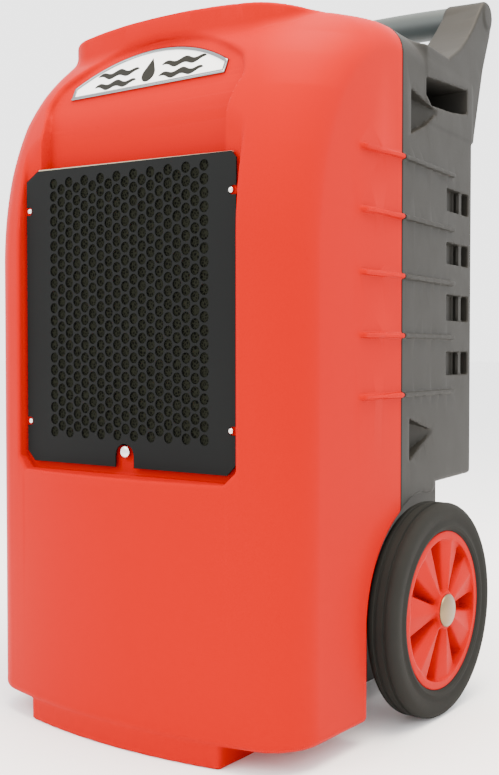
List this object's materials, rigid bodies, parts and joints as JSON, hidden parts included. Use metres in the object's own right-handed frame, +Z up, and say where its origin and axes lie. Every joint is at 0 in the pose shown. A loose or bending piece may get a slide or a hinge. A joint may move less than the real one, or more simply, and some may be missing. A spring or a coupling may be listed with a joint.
{
  "type": "portable dehumidifier",
  "caption": "Upright wheeled dehumidifier with a two-part moulded body, perforated front intake cover, rear carrying bar and large side wheels.",
  "frame": {"origin": "centre of the footprint of the whole machine's bounding box, on the floor", "axes": "+Z up; -Y is the front with the intake cover; +Y is the back with the handle and controls; +X is the machine's side seen on the right from the front"},
  "size_m": [0.612, 0.6594, 1.0775],
  "materials": {
    "red_shell": "rotationally moulded polyethylene, satin red",
    "grey_shell": "rotationally moulded polyethylene, satin warm grey",
    "handle_grey": "smooth blue-grey moulded sleeve",
    "chrome_trim": "bright plated",
    "badge_white": "glossy white",
    "cover_black": "satin black powder coat",
    "filter_foam": "open-cell reticulated foam",
    "bright_steel": "bright zinc plate",
    "tyre_rubber": "matt black-brown rubber",
    "hub_red": "moulded red plastic",
    "black_plastic": "fine moulded texture",
    "zinc_steel": "zinc plated sheet",
    "fin_aluminium": "bare fin stock",
    "machine_black": "gloss black enamel",
    "grommet_rubber": "matt black rubber",
    "copper": "bare copper",
    "valve_brass": "machined brass",
    "float_white": "plain white",
    "panel_black": "satin black powder coat",
    "rocker_red": "glossy red",
    "meter_glass": "clear window",
    "lamp_red": "red lens"
  },
  "bodies": {
    "machine": {"front_shell": "red_shell", "rear_shell": "grey_shell", "handle_bar": "handle_grey", "badge_rim": "chrome_trim", "axle_cap_left": "chrome_trim", "axle_cap_right": "chrome_trim", "badge_face": "badge_white", "notch_stud": "bright_steel", "button_collar": "bright_steel", "drip_tray": "black_plastic", "condensate_reservoir": "black_plastic", "reservoir_lid": "black_plastic", "condensate_pump": "black_plastic", "outlet_grille": "black_plastic", "switch_bezel": "black_plastic", "meter_bezel": "black_plastic", "hose_connector": "black_plastic", "cable_gland": "black_plastic", "electrical_box": "black_plastic", "axle_bracket_left": "zinc_steel", "axle_bracket_right": "zinc_steel", "axle": "zinc_steel", "base_chassis": "zinc_steel", "fan_shroud": "zinc_steel", "motor_bracket": "zinc_steel", "evaporator_coil": "fin_aluminium", "condenser_coil": "fin_aluminium", "compressor": "machine_black", "accumulator": "machine_black", "fan_motor": "machine_black", "compressor_grommet_1": "grommet_rubber", "compressor_grommet_2": "grommet_rubber", "compressor_grommet_3": "grommet_rubber", "pump_hose": "grommet_rubber", "filter_drier": "copper", "suction_pipe": "copper", "discharge_pipe": "copper", "liquid_pipe": "copper", "solenoid_valve": "valve_brass", "control_panel": "panel_black", "meter_window": "meter_glass", "indicator_lamp": "lamp_red"},
    "filter_cover": {"filter_cover": "cover_black", "filter_pad": "filter_foam", "cover_screw_lower_left": "bright_steel", "cover_screw_lower_right": "bright_steel", "cover_screw_upper_left": "bright_steel", "cover_screw_upper_right": "bright_steel"},
    "wheel_left": {"tyre_left": "tyre_rubber", "hub_left": "hub_red", "bush_left": "black_plastic"},
    "wheel_right": {"tyre_right": "tyre_rubber", "hub_right": "hub_red", "bush_right": "black_plastic"},
    "fan": {"fan_blade": "black_plastic", "fan_shaft": "zinc_steel"},
    "power_switch": {"power_rocker": "rocker_red"},
    "purge_button": {"purge_button": "black_plastic"},
    "humidistat": {"humidistat_knob": "black_plastic"},
    "float": {"reservoir_float": "float_white"}
  },
  "joints": [
    {"name": "cover_pull", "type": "slide", "parent": "machine", "child": "filter_cover", "axis": [0, -1, 0], "range_m": [0, 0.12]},
    {"name": "wheel_left_spin", "type": "hinge", "parent": "machine", "child": "wheel_left", "pos_m": [-0.275, 0.0378, 0.15], "axis": [1, 0, 0], "continuous": true},
    {"name": "wheel_right_spin", "type": "hinge", "parent": "machine", "child": "wheel_right", "pos_m": [0.275, 0.0378, 0.15], "axis": [1, 0, 0], "continuous": true},
    {"name": "fan_spin", "type": "hinge", "parent": "machine", "child": "fan", "pos_m": [0, -0.1217, 0.566], "axis": [0, 1, 0], "continuous": true},
    {"name": "power_switch_rock", "type": "hinge", "parent": "machine", "child": "power_switch", "pos_m": [-0.088, 0.2509, 0.834], "axis": [-1, 0, 0], "range_deg": [0, 12]},
    {"name": "purge_press", "type": "slide", "parent": "machine", "child": "purge_button", "axis": [0, -1, 0], "range_m": [0, 0.003], "stiffness_N_per_m": 300, "springref_m": -0.002},
    {"name": "humidistat_turn", "type": "hinge", "parent": "machine", "child": "humidistat", "pos_m": [0.076, 0.2523, 0.792], "axis": [0, -1, 0], "range_deg": [0, 270]},
    {"name": "float_rise", "type": "slide", "parent": "machine", "child": "float", "axis": [0, 0, 1], "range_m": [0, 0.035]}
  ]
}
